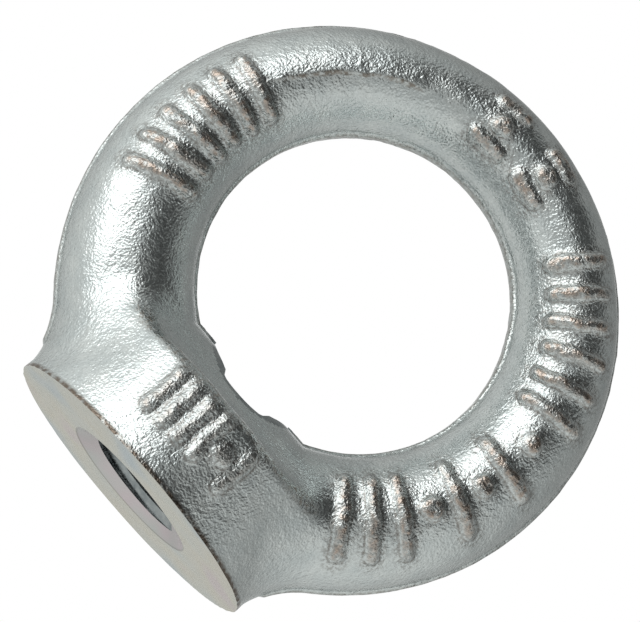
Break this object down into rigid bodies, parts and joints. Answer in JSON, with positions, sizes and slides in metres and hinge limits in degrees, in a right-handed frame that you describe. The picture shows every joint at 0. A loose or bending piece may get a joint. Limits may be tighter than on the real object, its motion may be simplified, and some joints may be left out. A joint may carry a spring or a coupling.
{
  "type": "lifting eye nut",
  "caption": "Drop-forged lifting eye nut: a thick ring that carries a hook or shackle, on a round foot with a threaded hole that screws onto a stud and seats on the load",
  "frame": {"origin": "where the thread axis meets the machined base face of the foot", "axes": "+Z along the thread axis from the base face to the crown of the ring, X across the ring in its own plane, Y along the axis of the eye"},
  "size_m": [0.0456, 0.025, 0.045],
  "materials": {
    "zinc_steel": "bright zinc plate over shot-blasted forged steel, with a smooth machined base face and bare thread flanks"
  },
  "bodies": {
    "root": {"eye_nut": "zinc_steel"}
  },
  "joints": []
}
